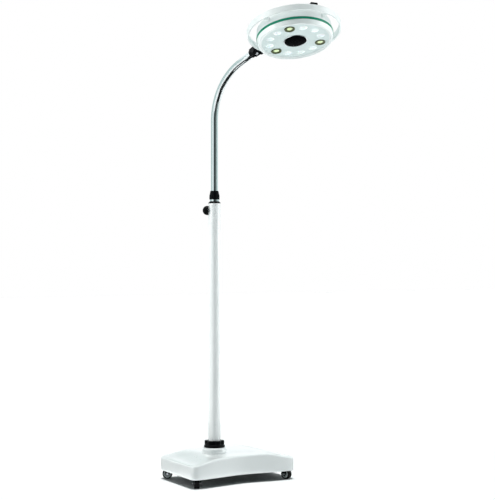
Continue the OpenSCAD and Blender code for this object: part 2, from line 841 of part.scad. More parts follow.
base_cover();
base_plate();
ballast_weights();
base_screws();
column_boss();
foot_collar();
collar_screws();
column_tube();
foot_bolt();
column_bush();
column_cap();
gland_body();
collet();
caster_stems();
caster_fork(0);  // caster_fork_near_left
caster_fork(1);  // caster_fork_near_right
caster_fork(2);  // caster_fork_far_left
caster_fork(3);  // caster_fork_far_right
caster_axle(0);  // caster_axle_near_left
caster_axle(1);  // caster_axle_near_right
caster_axle(2);  // caster_axle_far_left
caster_axle(3);  // caster_axle_far_right
caster_wheel(0);  // caster_wheel_near_left
caster_wheel(1);  // caster_wheel_near_right
caster_wheel(2);  // caster_wheel_far_left
caster_wheel(3);  // caster_wheel_far_right
caster_tyre(0);  // caster_tyre_near_left
caster_tyre(1);  // caster_tyre_near_right
caster_tyre(2);  // caster_tyre_far_left
caster_tyre(3);  // caster_tyre_far_right
glide_ring();
arm_tube();
arm_yoke();
arm_cable();
pivot_bolt();
pivot_nut();
friction_washers();
gland_nut();
lock_knob();
lock_stud();
head_lug();
swivel_flange();
rear_housing();
front_bezel();
trim_ring();
front_plate();
clear_lenses();
warm_lenses();
lens_bezels();
centre_cap();
centre_ring();
led_board();
heat_sink();
driver_board();
ring_handle();
ring_posts();
housing_screws();
spindle_nut();
control_pod();
control_rocker();
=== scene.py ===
"""Looks of the mobile examination lamp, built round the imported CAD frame.

Lengths are in metres, except for the turned outlines whose comment or docstring says millimetres.
"""

import json
import math

import bmesh
import bpy
from mathutils import Matrix, Vector

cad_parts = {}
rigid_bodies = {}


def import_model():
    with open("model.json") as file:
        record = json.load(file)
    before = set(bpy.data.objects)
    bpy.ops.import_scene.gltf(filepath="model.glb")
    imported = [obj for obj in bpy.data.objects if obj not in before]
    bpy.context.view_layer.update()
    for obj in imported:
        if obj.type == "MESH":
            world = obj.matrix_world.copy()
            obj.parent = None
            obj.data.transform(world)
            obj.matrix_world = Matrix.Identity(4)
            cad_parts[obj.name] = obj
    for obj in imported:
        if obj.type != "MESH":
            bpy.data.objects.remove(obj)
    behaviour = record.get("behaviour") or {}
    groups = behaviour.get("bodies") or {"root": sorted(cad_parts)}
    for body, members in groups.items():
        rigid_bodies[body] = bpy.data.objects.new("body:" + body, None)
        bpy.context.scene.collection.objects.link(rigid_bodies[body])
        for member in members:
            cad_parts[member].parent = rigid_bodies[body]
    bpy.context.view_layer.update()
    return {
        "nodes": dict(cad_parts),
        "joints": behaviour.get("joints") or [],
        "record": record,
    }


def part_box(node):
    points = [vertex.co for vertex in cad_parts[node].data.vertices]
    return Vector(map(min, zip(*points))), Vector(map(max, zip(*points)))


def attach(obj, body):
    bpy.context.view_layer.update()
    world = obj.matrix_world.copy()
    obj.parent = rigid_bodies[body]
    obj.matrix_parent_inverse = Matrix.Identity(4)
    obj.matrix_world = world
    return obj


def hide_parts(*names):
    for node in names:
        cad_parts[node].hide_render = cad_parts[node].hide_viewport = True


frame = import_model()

NODES = frame["nodes"]
JOINTS = {j["name"]: j for j in frame["joints"]}
MM = 0.001
TURN = 2 * math.pi
WELD_DISTANCE = 1e-6
SHARP_ANGLE = math.radians(35)
ROUNDING_STEPS = 3
CORNER_REACH = 0.45


# ---- Places read from the frame ----


def spread(node, axis):
    """Lowest and highest place of a CAD node along an axis through the origin."""
    along = [v.co.dot(axis) for v in NODES[node].data.vertices]
    return min(along), max(along)


def middle(node):
    """Mean place of a CAD node's vertices."""
    total = Vector()
    for vertex in NODES[node].data.vertices:
        total += vertex.co
    return total / len(NODES[node].data.vertices)


def frame_matrix(origin, x_axis, z_axis):
    """A placement with the given origin and axes; the X axis is squared up to Z."""
    z = z_axis.normalized()
    x = (x_axis - z * x_axis.dot(z)).normalized()
    y = z.cross(x)
    rows = [[x[i], y[i], z[i], origin[i]] for i in range(3)]
    return Matrix(rows + [[0, 0, 0, 1]])


def joint_point(name):
    """Where a joint is, at rest."""
    return Vector(JOINTS[name]["pos_m"])


def joint_axis(name):
    """Direction of a joint's axis, at rest."""
    return Vector(JOINTS[name]["axis"])


HEAD_TRIAL_STEP = 0.0005
HEAD_TRIALS = 200


def head_matrix():
    """The lamp head's own frame: origin at the centre of the front rim, +X from the arm, +Z to the back.

    The first normal comes from a spoke of the trim ring. Small turns about the roll axis then find the
    direction in which the ring is thinnest.
    """
    across = joint_axis("head_roll")
    centre = middle("trim_ring")
    spokes = [v.co - centre for v in NODES["trim_ring"].data.vertices]
    longest = max(spokes, key=lambda s: s.cross(across).length)
    normal = across.cross(longest).normalized()
    lowest, highest = spread("trim_ring", normal)
    best = normal
    thinnest = highest - lowest
    side = across.cross(normal)
    for step in range(-HEAD_TRIALS, HEAD_TRIALS + 1):
        tilt = step * HEAD_TRIAL_STEP
        trial = (normal * math.cos(tilt) + side * math.sin(tilt)).normalized()
        low, high = spread("trim_ring", trial)
        if high - low < thinnest:
            thinnest = high - low
            best = trial
    if (middle("rear_housing") - middle("front_plate")).dot(best) < 0:
        best = -best
    front = spread("front_bezel", best)[0]
    origin = centre + best * (front - centre.dot(best))
    return frame_matrix(origin, across, best)


HEAD = head_matrix()


# ---- Mesh building ----


def add_piece(name, verts, faces, body, material, stands_for=()):
    """A mesh that rides a body, in place of the CAD nodes it stands for."""
    mesh = bpy.data.meshes.new(name)
    mesh.from_pydata([tuple(v) for v in verts], [], faces)
    mesh.validate()
    work = bmesh.new()
    work.from_mesh(mesh)
    bmesh.ops.remove_doubles(work, verts=work.verts, dist=WELD_DISTANCE)
    loose = [edge for edge in work.edges if not edge.link_faces]
    bmesh.ops.delete(work, geom=loose, context="EDGES")
    bmesh.ops.recalc_face_normals(work, faces=work.faces)
    work.to_mesh(mesh)
    work.free()
    piece = bpy.data.objects.new(name, mesh)
    bpy.context.scene.collection.objects.link(piece)
    mesh.materials.append(material)
    smooth(piece)
    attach(piece, body)
    if stands_for:
        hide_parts(*stands_for)
    return piece


def smooth(piece):
    """Smooth shading, with edges past SHARP_ANGLE kept sharp."""
    for polygon in piece.data.polygons:
        polygon.use_smooth = True
    work = bmesh.new()
    work.from_mesh(piece.data)
    for edge in work.edges:
        if len(edge.link_faces) == 2 and edge.calc_face_angle(0) > SHARP_ANGLE:
            edge.smooth = False
    work.to_mesh(piece.data)
    work.free()


def ring_skin(rings):
    """Points and faces that join equal rings into one skin; the last ring joins the first."""
    verts = [p for ring in rings for p in ring]
    count = len(rings[0])
    faces = []
    for i in range(len(rings)):
        a = i * count
        b = ((i + 1) % len(rings)) * count
        for j in range(count):
            k = (j + 1) % count
            faces.append((a + j, a + k, b + k, b + j))
    return verts, faces


def lathe(place, outline, segments, radius_at=None):
    """Turns an outline of (radius, height) pairs about a placement's Z axis into a closed skin.

    radius_at(angle, radius, height) gives the true radius where the piece isn't round.
    """
    rings = []
    for r, z in outline:
        ring = []
        for j in range(segments):
            angle = TURN * j / segments
            radius = radius_at(angle, r, z) if radius_at else r
            ring.append(place @ Vector((radius * math.cos(angle), radius * math.sin(angle), z)))
        rings.append(ring)
    return ring_skin(rings)


def round_corners(points, radius):
    """A closed outline with each corner rounded by up to the given radius."""
    out = []
    count = len(points)
    for i in range(count):
        here = Vector(points[i])
        before = Vector(points[i - 1]) - here
        after = Vector(points[(i + 1) % count]) - here
        reach = min(radius, before.length * CORNER_REACH, after.length * CORNER_REACH)
        start = here + before.normalized() * reach
        end = here + after.normalized() * reach
        for k in range(ROUNDING_STEPS + 1):
            t = k / ROUNDING_STEPS
            point = start * (1 - t) ** 2 + here * (2 * t * (1 - t)) + end * t**2
            out.append((point.x, point.y))
    return out


# ---- Materials ----


# Part of a noise value's range that is used; then scale and detail of the slow tones and the smudges
NOISE_LOW = 0.3
NOISE_HIGH = 0.7
TONE_NOISE = (14.0, 4.0)
SMUDGE_NOISE = (60.0, 5.0)
GRAIN_DETAIL = 2.0
WEAR_START = 0.52
WEAR_FULL = 0.62
WEAR_SHARE = 0.55
COAT_ROUGHNESS = 0.16
LEAST_ROUGHNESS = 0.02
SMOOTH_SHARE = 0.85
ROUGH_SHARE = 1.2


def new_material(name):
    """A node material with its nodes, its links and its shader."""
    material = bpy.data.materials.new(name)
    material.use_nodes = True
    nodes = material.node_tree.nodes
    return material, nodes, material.node_tree.links, nodes["Principled BSDF"]


def noise(nodes, links, scale, detail, stretch=(1, 1, 1)):
    """Noise in object space; stretch scales it along each axis."""
    coords = nodes.new("ShaderNodeTexCoord")
    mapping = nodes.new("ShaderNodeMapping")
    mapping.inputs["Scale"].default_value = stretch
    texture = nodes.new("ShaderNodeTexNoise")
    texture.inputs["Scale"].default_value = scale
    texture.inputs["Detail"].default_value = detail
    links.new(coords.outputs["Object"], mapping.inputs["Vector"])
    links.new(mapping.outputs["Vector"], texture.inputs["Vector"])
    return texture.outputs["Fac"]


def span(nodes, links, value, low, high):
    """Maps the middle of a noise value's range to low..high."""
    ramp = nodes.new("ShaderNodeMapRange")
    ramp.inputs["From Min"].default_value = NOISE_LOW
    ramp.inputs["From Max"].default_value = NOISE_HIGH
    ramp.inputs["To Min"].default_value = low
    ramp.inputs["To Max"].default_value = high
    links.new(value, ramp.inputs["Value"])
    return ramp.outputs["Result"]


def blend_colours(nodes, links, factor, first, second):
    """A colour mix: the first colour at factor 0, the second at factor 1."""
    mix = nodes.new("ShaderNodeMix")
    mix.data_type = "RGBA"
    mix.inputs[6].default_value = (*first, 1)
    mix.inputs[7].default_value = (*second, 1)
    links.new(factor, mix.inputs[0])
    return mix


def surface(name, colour, roughness, metallic=0.0, grain=900.0, bump=0.1, depth=0.0001, tone=0.06,
            coat=0.0, wear=None, stretch=(1, 1, 1), specular=0.5, coat_ior=1.5, ior=1.5):
    """A moulded, painted or plated finish.

    It has slow tone changes, a fine grain and smudges in its gloss. With a wear colour, sharp edges turn to
    that colour.
    """
    material, nodes, links, shader = new_material(name)
    slow = noise(nodes, links, *TONE_NOISE)
    shade = tuple(max(0.0, c * (1 - tone)) for c in colour)
    mix = blend_colours(nodes, links, span(nodes, links, slow, 0.0, 1.0), colour, shade)
    out = mix.outputs[2]
    if wear:
        geometry = nodes.new("ShaderNodeNewGeometry")
        edges = nodes.new("ShaderNodeMapRange")
        edges.inputs["From Min"].default_value = WEAR_START
        edges.inputs["From Max"].default_value = WEAR_FULL
        edges.inputs["To Max"].default_value = WEAR_SHARE
        links.new(geometry.outputs["Pointiness"], edges.inputs["Value"])
        worn = blend_colours(nodes, links, edges.outputs["Result"], colour, wear)
        links.new(out, worn.inputs[6])
        out = worn.outputs[2]
    links.new(out, shader.inputs["Base Color"])
    fine = noise(nodes, links, grain, GRAIN_DETAIL, stretch)
    smudge = noise(nodes, links, *SMUDGE_NOISE, stretch)
    smoothest = max(LEAST_ROUGHNESS, roughness * SMOOTH_SHARE)
    roughest = min(1.0, roughness * ROUGH_SHARE)
    links.new(span(nodes, links, smudge, smoothest, roughest), shader.inputs["Roughness"])
    shader.inputs["Metallic"].default_value = metallic
    shader.inputs["Specular IOR Level"].default_value = specular
    shader.inputs["IOR"].default_value = ior
    shader.inputs["Coat Weight"].default_value = coat
    shader.inputs["Coat Roughness"].default_value = COAT_ROUGHNESS
    shader.inputs["Coat IOR"].default_value = coat_ior
    bumps = nodes.new("ShaderNodeBump")
    bumps.inputs["Strength"].default_value = bump
    bumps.inputs["Distance"].default_value = depth
    links.new(fine, bumps.inputs["Height"])
    links.new(bumps.outputs["Normal"], shader.inputs["Normal"])
    return material


def lens_material(name, colour, painted_glow):
    """A moulded lens with a weak painted glow that brightens it, and a faintly uneven face."""
    material = surface(name, colour, 0.12, grain=260.0, bump=0.12, depth=0.0004, tone=0.1, coat=0.6)
    shader = material.node_tree.nodes["Principled BSDF"]
    shader.inputs["Transmission Weight"].default_value = 0.25
    shader.inputs["Subsurface Weight"].default_value = 0.2
    # Painted glow: the emission makes the lens look brighter against the face, though no light is on inside
    # it
    shader.inputs["Emission Color"].default_value = (*colour, 1)
    shader.inputs["Emission Strength"].default_value = painted_glow
    return material


WHITE_PAINT = surface("white_powder_coat", (0.86, 0.9, 0.9), 0.32, grain=700, bump=0.14, depth=0.00015,
                      tone=0.03, coat=0.9, wear=(0.93, 0.95, 0.95), coat_ior=2.1)
WHITE_PLASTIC = surface("white_moulding", (0.84, 0.89, 0.885), 0.36, grain=1500, bump=0.1, tone=0.03,
                        coat=0.5, wear=(0.93, 0.95, 0.95), coat_ior=1.8)
# Painted shade: the white face gets a darker, greener grey for the shade on its downward side, so the lenses
# stand out
FACE_PAINTED_SHADE = surface("lamp_face_painted_shade", (0.66, 0.76, 0.75), 0.38, grain=1500, bump=0.12, tone=0.05, coat=0.1)
GREEN = surface("green_trim", (0.005, 0.24, 0.14), 0.3, grain=1200, bump=0.08, tone=0.12, specular=0.2,
                wear=(0.05, 0.4, 0.28))
BLACK = surface("black_moulding", (0.003, 0.0035, 0.004), 0.3, grain=1800, bump=0.25, tone=0.3,
                wear=(0.012, 0.014, 0.015), ior=1.14)
BLACK_GLOSS = surface("black_gloss", (0.002, 0.002, 0.0025), 0.25, grain=1500, bump=0.05, tone=0.3,
                      ior=1.04)
CHROME = surface("bright_chrome", (0.8, 0.83, 0.84), 0.06, metallic=1.0, grain=500, bump=0.02, tone=0.02,
                 stretch=(1, 1, 0.06))
ZINC = surface("zinc_plate", (0.55, 0.57, 0.6), 0.3, metallic=1.0, grain=900, bump=0.15, tone=0.12,
               wear=(0.75, 0.77, 0.78))
STEEL_BLACK = surface("black_steel", (0.012, 0.012, 0.014), 0.42, grain=900, bump=0.2, tone=0.3, ior=1.25)
IRON = surface("cast_ballast", (0.035, 0.035, 0.038), 0.75, grain=350, bump=0.6, depth=0.0006, tone=0.4)
NYLON = surface("natural_nylon", (0.72, 0.72, 0.66), 0.45, grain=1200, bump=0.1, tone=0.06)
WHEEL_GREY = surface("wheel_grey", (0.42, 0.47, 0.47), 0.4, grain=1300, bump=0.15, tone=0.12,
                     wear=(0.6, 0.64, 0.64))
TYRE = surface("tyre_rubber", (0.004, 0.004, 0.0045), 0.6, grain=1400, bump=0.45, depth=0.0002, tone=0.4,
               wear=(0.02, 0.02, 0.019), ior=1.2)
OLIVE = surface("olive_bezel", (0.07, 0.09, 0.03), 0.35, grain=1500, bump=0.12, tone=0.2, specular=0.25)
BOARD_GREEN = surface("circuit_green", (0.02, 0.16, 0.09), 0.4, grain=600, bump=0.2, tone=0.3)
BOARD_WHITE = surface("circuit_white", (0.8, 0.81, 0.79), 0.4, grain=900, bump=0.1, tone=0.06)
ALUMINIUM = surface("plain_aluminium", (0.6, 0.61, 0.63), 0.35, metallic=1.0, grain=1000, bump=0.2,
                    tone=0.1, stretch=(1, 1, 0.1))
CABLE = surface("cable_sheath", (0.012, 0.012, 0.013), 0.5, grain=1500, bump=0.2, tone=0.3)
# Both kinds of lens get a weak painted glow, which brightens them against the face
LENS_CLEAR = lens_material("lens_clear", (0.92, 0.96, 0.95), 0.2)
LENS_WARM = lens_material("lens_warm", (0.8, 0.88, 0.55), 0.25)

SLOT_MATERIALS = {
    "white_enamel": WHITE_PAINT, "white_moulding": WHITE_PLASTIC, "face_white": FACE_PAINTED_SHADE,
    "trim_green": GREEN, "black_moulding": BLACK, "black_gloss": BLACK_GLOSS, "chrome_tube": CHROME,
    "zinc_steel": ZINC, "base_steel": STEEL_BLACK, "ballast_iron": IRON, "glide_nylon": NYLON,
    "wheel_grey": WHEEL_GREY, "tyre_black": TYRE, "lens_clear": LENS_CLEAR, "lens_warm": LENS_WARM,
    "bezel_olive": OLIVE, "board_green": BOARD_GREEN, "board_white": BOARD_WHITE,
    "sink_aluminium": ALUMINIUM, "cable_black": CABLE,
}

# Edge rounding in millimetres, for CAD nodes that keep their own mesh
EDGE_ROUND = {
    "column_boss": 1.2, "column_cap": 0.3, "arm_yoke": 0.9, "pivot_nut": 0.5, "head_lug": 0.5,
    "swivel_flange": 0.4, "ring_posts": 0.6, "control_pod": 0.8, "control_rocker": 0.5,
    "front_plate": 0.3, "base_plate": 0.4, "ballast_weights": 1.0, "base_screws": 0.5, "foot_bolt": 0.4,
}
BEVEL_SEGMENTS = 3
BEVEL_ANGLE = math.radians(40)
CORNERS = ("near_left", "near_right", "far_left", "far_right")
for corner in CORNERS:
    EDGE_ROUND["caster_fork_" + corner] = 0.7
    EDGE_ROUND["caster_axle_" + corner] = 0.3


def finish_cad_nodes():
    """Materials for every CAD node, and rounded edges for those in EDGE_ROUND."""
    for part in frame["record"]["subparts"]:
        node = NODES[part["node"]]
        node.data.materials.clear()
        node.data.materials.append(SLOT_MATERIALS[part["material_slot"]])
        for polygon in node.data.polygons:
            polygon.use_smooth = True
            polygon.material_index = 0
        if part["node"] in EDGE_ROUND:
            weld = node.modifiers.new("weld", "WELD")
            weld.merge_threshold = WELD_DISTANCE
            bevel = node.modifiers.new("bevel", "BEVEL")
            bevel.width = EDGE_ROUND[part["node"]] * MM
            bevel.segments = BEVEL_SEGMENTS
            bevel.limit_method = "ANGLE"
            bevel.angle_limit = BEVEL_ANGLE
            bevel.use_clamp_overlap = True
            bevel.harden_normals = False
            fix = node.modifiers.new("normals", "WEIGHTED_NORMAL")
            fix.keep_sharp = True


# ---- Base cover ----

# The cover's plan, profile and foot, then the number of rows in its mesh
PLAN_CORNER = 14 * MM
WAIST = 20 * MM
TOP_EDGE = 7 * MM
END_TOP = 80 * MM
FLAT_SHARE = 0.47
STRAIGHT_SHARE = 0.35
COVER_WALL = 2.5 * MM
FOOT_BAND = 1.5 * MM
FOOT_CHAMFER = ((0.4 * MM, 0.4 * MM), (1.2 * MM, 0))
CORNER_ROWS = 5
LENGTH_ROWS = 24
WIDTH_ROWS = 16
EDGE_ROWS = 6
WALL_ROWS = 6


def grid_faces(rows, across):
    """Faces of a grid of points, listed row by row."""
    row = across + 1
    corners = [i * row + j for i in range(rows - 1) for j in range(across)]
    return [(a, a + 1, a + row + 1, a + row) for a in corners]


def grid_rim(rows, across):
    """Indices of a grid's outermost points, in order round the grid."""
    row = across + 1
    rim = [i * row + across for i in range(rows)]
    rim += [(rows - 1) * row + j for j in range(across - 1, -1, -1)]
    rim += [i * row for i in range(rows - 2, -1, -1)]
    return rim + list(range(1, across))


def outward_normals(loop):
    """A level normal at each point of a closed loop round the origin."""
    normals = []
    for i in range(len(loop)):
        step = loop[(i + 1) % len(loop)] - loop[i - 1]
        normals.append(Vector((step.y, -step.x, 0)).normalized())
    if normals[0].dot(Vector((loop[0].x, loop[0].y, 0))) < 0:
        normals = [-n for n in normals]
    return normals


def base_cover():
    """The waisted, arched shell: a top grid, a rounded edge, a straight wall and a small foot chamfer."""
    low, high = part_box("base_cover")
    half_l = (high.x - low.x) / 2
    half_w = (high.y - low.y) / 2
    mid = (high.x + low.x) / 2

    def side(x):
        """Half width of the plan at x, with the waist and the rounded corners."""
        start = half_l - PLAN_CORNER
        wide = half_w - WAIST * math.cos(math.pi / 2 * min(1, abs(x) / start)) ** 2
        past = max(0.0, abs(x) - start)
        return wide - PLAN_CORNER + math.sqrt(max(0.0, PLAN_CORNER**2 - past**2))

    def top(x):
        """Height of the top at x: flat in the middle, falling to the ends."""
        flat = FLAT_SHARE * half_l
        t = min(1, max(0.0, (abs(x) - flat) / (half_l - flat)))
        fall = STRAIGHT_SHARE * t + (1 - STRAIGHT_SHARE) * t * t * (3 - 2 * t)
        return high.z - (high.z - END_TOP) * fall

    inner = [(half_l - PLAN_CORNER) * k / LENGTH_ROWS for k in range(LENGTH_ROWS)]
    turns = [math.pi / 2 * k / CORNER_ROWS for k in range(CORNER_ROWS + 1)]
    positive = inner + [half_l - PLAN_CORNER + PLAN_CORNER * math.sin(turn) for turn in turns]
    xs = [-x for x in reversed(positive[1:])] + positive
    shrink_x = 1 - TOP_EDGE / half_l
    shrink_y = 1 - TOP_EDGE / half_w
    verts = []
    for x in xs:
        for j in range(WIDTH_ROWS + 1):
            t = 2 * j / WIDTH_ROWS - 1
            verts.append((x * shrink_x, side(x) * shrink_y * t, top(x)))
    faces = grid_faces(len(xs), WIDTH_ROWS)
    rim = grid_rim(len(xs), WIDTH_ROWS)
    rim_points = [Vector(verts[i]) for i in rim]
    normals = outward_normals(rim_points)

    def add_ring(inset, z_of):
        """A ring of points below the rim: inset from the outer wall, at a height that depends on x."""
        start = len(verts)
        for point, normal in zip(rim_points, normals):
            out = point + normal * (TOP_EDGE - inset)
            out.x = max(-half_l, min(half_l, out.x))
            out.y = max(-half_w, min(half_w, out.y))
            verts.append((out.x, out.y, z_of(point.x)))
        return list(range(start, len(verts)))

    loops = [rim]
    for k in range(1, EDGE_ROWS + 1):
        angle = math.pi / 2 * k / EDGE_ROWS
        inset = TOP_EDGE * (1 - math.sin(angle))
        drop = TOP_EDGE * (1 - math.cos(angle))
        loops.append(add_ring(inset, lambda x, d=drop: top(x / shrink_x) - d))
    foot = low.z + FOOT_BAND
    for k in range(1, WALL_ROWS):
        share = k / WALL_ROWS
        loops.append(add_ring(0, lambda x, s=share: (top(x) - TOP_EDGE) * (1 - s) + foot * s))
    loops.append(add_ring(0, lambda x: foot))
    for inset, rise in FOOT_CHAMFER:
        loops.append(add_ring(inset, lambda x, r=rise: low.z + r))
    count = len(rim)
    for upper, lower in zip(loops, loops[1:]):
        for j in range(count):
            k = (j + 1) % count
            faces.append((upper[j], upper[k], lower[k], lower[j]))
    verts = [(x + mid, y, z) for x, y, z in verts]
    piece = add_piece("cover_shell", verts, faces, "base", WHITE_PAINT, ["base_cover"])
    shell = piece.modifiers.new("shell", "SOLIDIFY")
    shell.thickness = COVER_WALL
    shell.offset = -1


# ---- Foot collar, nut, knob ----

COLLAR_LOBES = 6
COLLAR_FIRST_LOBE = math.radians(-30)
LOBE_START = 7 * MM
LOBE_RISE = 4 * MM
LOBE_OUT = 3.4 * MM
LOBE_IN = 3.2 * MM
COLLAR_BORE_LIMIT = 26 * MM


def foot_collar():
    """The black collar at the column's foot: a round flange under a lobed grip."""
    low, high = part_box("foot_collar")
    outer = (high.x - low.x) / 2
    place = Matrix.Translation((0, 0, low.z))
    tall = high.z - low.z
    outline = [
        (21.2 * MM, 0), (outer - 1.0 * MM, 0), (outer, 1.4 * MM), (outer, 4.6 * MM),
        (outer - 1.2 * MM, 6.8 * MM), (outer - 4 * MM, 8.4 * MM), (outer - 5.6 * MM, 10 * MM),
        (outer - 5.9 * MM, 12.5 * MM), (outer - 5.9 * MM, tall - 2.4 * MM),
        (outer - 6.6 * MM, tall - 0.8 * MM), (outer - 8 * MM, tall), (24 * MM, tall),
        (22.6 * MM, tall - 1 * MM), (21.2 * MM, tall - 2.2 * MM),
    ]

    def lobed(angle, r, z):
        if z < LOBE_START or r < COLLAR_BORE_LIMIT:
            return r
        share = min(1, (z - LOBE_START) / LOBE_RISE)
        wave = 0.5 + 0.5 * math.cos(COLLAR_LOBES * (angle - COLLAR_FIRST_LOBE))
        return r + share * (LOBE_OUT * wave**2 - LOBE_IN * (1 - wave) ** 2)

    verts, faces = lathe(place, round_corners(outline, 0.8 * MM), 180, lobed)
    add_piece("collar_lobed", verts, faces, "base", BLACK, ["foot_collar"])


NUT_RIBS = 16
RIB_DEPTH = 0.9 * MM
RIB_FADE_END = 18.5 * MM
RIB_FADE = 3 * MM
NUT_BORE_LIMIT = 15 * MM


def gland_nut():
    """The ribbed nut on the column's top; the ribs fade out towards its cone."""
    low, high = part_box("gland_nut")
    outer = (high.x - low.x) / 2
    tall = high.z - low.z
    place = Matrix.Translation((0, 0, low.z))
    outline = [
        (14.6 * MM, 0), (outer - 0.6 * MM, 0), (outer, 0.8 * MM), (outer, 14 * MM),
        (outer - 1.2 * MM, 19 * MM), (14.4 * MM, tall - 1 * MM), (13.8 * MM, tall), (12.7 * MM, tall),
        (12.7 * MM, 24.5 * MM), (14.6 * MM, 20 * MM),
    ]

    def ribbed(angle, r, z):
        if r < NUT_BORE_LIMIT:
            return r
        fade = max(0.0, min(1, (RIB_FADE_END - z) / RIB_FADE))
        wave = 0.5 - 0.5 * math.cos(NUT_RIBS * angle)
        return r - fade * RIB_DEPTH * (1 - wave) ** 3

    verts, faces = lathe(place, round_corners(outline, 0.5 * MM), 192, ribbed)
    add_piece("nut_ribbed", verts, faces, "gland_nut", BLACK, ["gland_nut"])


KNOB_FLUTES = 8
FLUTE_DEPTH = 0.9 * MM
FLUTE_FADE_END = 14 * MM
FLUTE_FADE = 8 * MM
KNOB_BORE_LIMIT = 10 * MM
KNOB_STRAIGHT = 3 * MM
DOME_STEPS = 10


def lock_knob():
    """The side knob on the column, domed at its outer end and fluted round its edge."""
    axis = joint_axis("lock_knob_turn")
    low, high = spread("lock_knob", axis)
    centre = joint_point("lock_knob_turn")
    centre = centre + axis * (low - centre.dot(axis))
    place = frame_matrix(centre, Vector((0, 0, 1)), axis)
    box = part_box("lock_knob")
    outer = (box[1].z - box[0].z) / 2
    deep = high - low
    outline = [(9 * MM, 0), (outer - 0.8 * MM, 0), (outer, 0.9 * MM)]
    for k in range(1, DOME_STEPS):
        turn = math.pi / 2 * k / DOME_STEPS
        outline.append((outer * math.cos(turn), KNOB_STRAIGHT + (deep - KNOB_STRAIGHT) * math.sin(turn)))
    outline += [(0, deep), (0, 17 * MM), (4.1 * MM, 17 * MM), (4.1 * MM, 7 * MM), (9 * MM, 7 * MM)]

    def fluted(angle, r, z):
        if r < KNOB_BORE_LIMIT:
            return r
        wave = 0.5 - 0.5 * math.cos(KNOB_FLUTES * angle)
        fade = max(0.0, min(1, (FLUTE_FADE_END - z) / FLUTE_FADE))
        return r - fade * FLUTE_DEPTH * (1 - wave) ** 2

    verts, faces = lathe(place, outline, 128, fluted)
    add_piece("knob_domed", verts, faces, "lock_knob", BLACK, ["lock_knob"])


# ---- Lamp head ----

# Places of the lenses on their circle, in degrees; radii here are in millimetres
WARM_ANGLES = (60, 180, 300)
PLAIN_ANGLES = (0, 30, 90, 120, 150, 210, 240, 270, 330)
MODULE_CIRCLE = 88
SCREW_ANGLES = range(30, 390, 60)
SCREW_CIRCLE = 96
SOCKET_RADIUS = 2.3
SOCKET_WIDENING = 1.08


def arc_points(centre, radius, first, last, steps):
    """Points along an arc; the first and last angles are in degrees."""
    turns = [math.radians(first + (last - first) * k / steps) for k in range(steps + 1)]
    return [(centre[0] + radius * math.cos(t), centre[1] + radius * math.sin(t)) for t in turns]


def head_lathe(name, outline, material, stands_for, rounding, segments=192):
    """A ring or disc turned about the head's axis; outline and rounding are in millimetres."""
    points = [(r * MM, z * MM) for r, z in outline]
    verts, faces = lathe(HEAD, round_corners(points, rounding * MM), segments)
    add_piece(name, verts, faces, "head", material, stands_for)


def repeated_lathe(places, outline, segments, radius_at=None):
    """The same turned part at several places, as one mesh; the outline is in millimetres."""
    points = [(r * MM, z * MM) for r, z in outline]
    verts = []
    faces = []
    for place in places:
        some, skin = lathe(place, points, segments, radius_at)
        faces += [tuple(i + len(verts) for i in face) for face in skin]
        verts += some
    return verts, faces


def on_circle(radius, angles):
    """Places on a circle round the head's axis, with their Z axes to the back of the head."""
    shift = Matrix.Translation((radius * MM, 0, 0))
    return [HEAD @ Matrix.Rotation(math.radians(a), 4, "Z") @ shift for a in angles]


def module_lathe(name, angles, outline, material, stands_for):
    """The same turned part at several places on the lens circle; the outline is in millimetres."""
    verts, faces = repeated_lathe(on_circle(MODULE_CIRCLE, angles), outline, 48)
    add_piece(name, verts, faces, "head", material, stands_for)


def hex_socket(angle, r, _z):
    """Turns the round recess of a screw head into a hexagon; only recess points have this radius."""
    if abs(r - SOCKET_RADIUS * MM) > WELD_DISTANCE:
        return r
    sixth = TURN / 6
    return r * math.cos(sixth / 2) / math.cos(angle % sixth - sixth / 2) * SOCKET_WIDENING


def screws():
    """Screws with a hexagon recess: two in the collar, six in the housing and the head's pivot bolt."""
    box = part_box("collar_screws")
    height = (box[0].z + box[1].z) / 2
    up = Vector((0, 0, 1))
    hole = SOCKET_RADIUS
    cap = [(0, 28.8), (hole, 28.8), (hole, 31.3), (3.6, 31.4), (4.3, 30.8), (4.3, 27.4), (2.5, 27.4),
           (2.5, 21.2), (0, 21.2)]
    places = [frame_matrix(Vector((0, 0, height)), up, Vector((side, 0, 0))) for side in (-1, 1)]
    verts, faces = repeated_lathe(places, cap, 36, hex_socket)
    add_piece("collar_cap_screws", verts, faces, "base", STEEL_BLACK, ["collar_screws"])
    pan = [(0, 60.6), (hole, 60.6), (hole, 62.1), (3.0, 62.2), (3.7, 61.8), (4, 61), (4, 59.6), (2, 59.6),
           (2, 32), (0, 32)]
    verts, faces = repeated_lathe(on_circle(SCREW_CIRCLE, SCREW_ANGLES), pan, 36, hex_socket)
    add_piece("housing_pan_screws", verts, faces, "head", ZINC, ["housing_screws"])
    pivot = joint_point("head_tilt")
    axis = joint_axis("head_tilt")
    if (middle("pivot_nut") - pivot).dot(axis) < 0:
        axis = -axis
    bolt = [(0, -17), (hole, -17), (hole, -19.5), (6.4, -19.6), (7.2, -19.2), (7.5, -18.4), (7.5, -14.6),
            (4, -14.6), (4, 20), (3.5, 20.5), (0, 20.5)]
    verts, faces = repeated_lathe([frame_matrix(pivot, up, axis)], bolt, 36, hex_socket)
    add_piece("pivot_cap_screw", verts, faces, "arm", STEEL_BLACK, ["pivot_bolt"])


RING_RELIEF = 0.22


def stepped_dome(apex, edge, fall, count):
    """Front of a moulded lens, in millimetres: a shallow dome with fine raised rings."""
    points = []
    for k in range(1, count + 1):
        r = edge * k / count
        relief = RING_RELIEF if k % 2 else 0.0
        points.append((r, apex + fall * (r / edge) ** 2 - relief))
    return points


